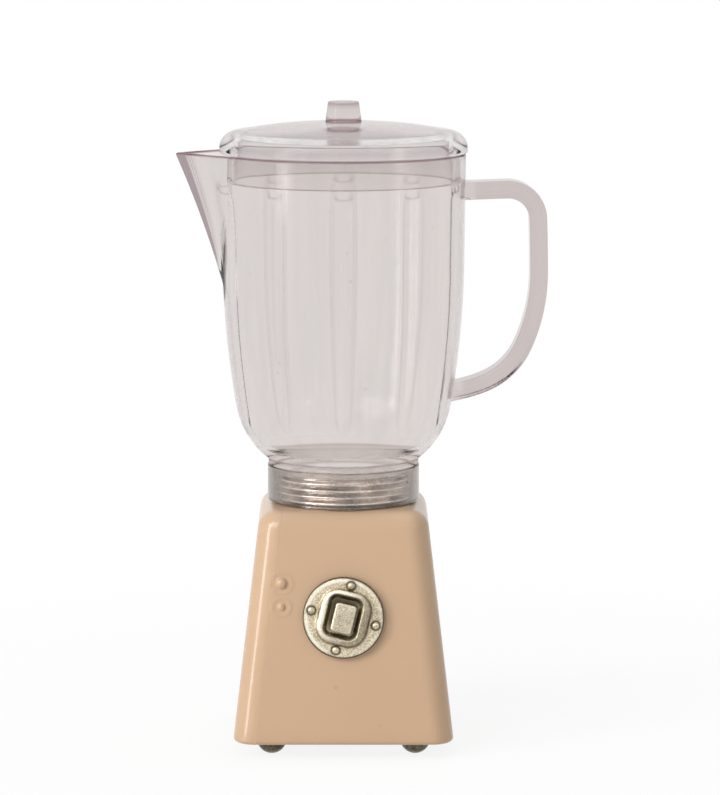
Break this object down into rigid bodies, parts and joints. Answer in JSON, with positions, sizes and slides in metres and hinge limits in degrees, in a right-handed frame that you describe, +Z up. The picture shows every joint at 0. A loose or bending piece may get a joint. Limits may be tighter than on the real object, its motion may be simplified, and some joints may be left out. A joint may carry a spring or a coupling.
{
  "type": "toy blender",
  "caption": "Miniature toy blender: tapered enamelled metal base on domed feet with a turning dial, and a clear screw-on jar with spout, handle, inner ribs and a lift-off domed lid.",
  "frame": {"origin": "on the surface that the feet stand on, under the axis of the jar and the base", "axes": "+Z up along the jar's axis, +X towards the handle, -X towards the spout, -Y towards the front with the dial"},
  "size_m": [0.0461, 0.0308, 0.08],
  "materials": {
    "enamel": "glossy peach-beige enamel over a metal casting",
    "dark_metal": "dull dark pewter",
    "bright_metal": "turned silver-grey metal",
    "pewter": "antique champagne pewter with a fine cast grain",
    "clear_plastic": "clear moulded plastic with a faint warm grey tint"
  },
  "bodies": {
    "base": {"base_shell": "enamel", "base_plate": "dark_metal", "foot_front_left": "dark_metal", "foot_front_right": "dark_metal", "foot_back_left": "dark_metal", "foot_back_right": "dark_metal", "threaded_boss": "bright_metal", "boss_screw": "bright_metal", "boss_washer": "bright_metal"},
    "dial": {"dial_plate": "pewter", "dial_rivets": "pewter", "dial_knob": "pewter", "dial_spindle": "bright_metal", "dial_washer": "bright_metal", "dial_clip": "bright_metal"},
    "jar": {"jar_body": "clear_plastic", "jar_handle": "clear_plastic", "jar_collar": "clear_plastic"},
    "lid": {"lid_cap": "clear_plastic", "lid_knob": "clear_plastic"}
  },
  "joints": [
    {"name": "dial_turn", "type": "hinge", "parent": "base", "child": "dial", "pos_m": [0, -0.01177, 0.01756], "axis": [0, -0.9933, 0.1159], "continuous": true},
    {"name": "jar_lift", "type": "slide", "parent": "base", "child": "jar", "axis": [0, 0, 1], "range_m": [0, 0.02]},
    {"name": "lid_lift", "type": "slide", "parent": "jar", "child": "lid", "axis": [0, 0, 1], "range_m": [0, 0.02]}
  ]
}
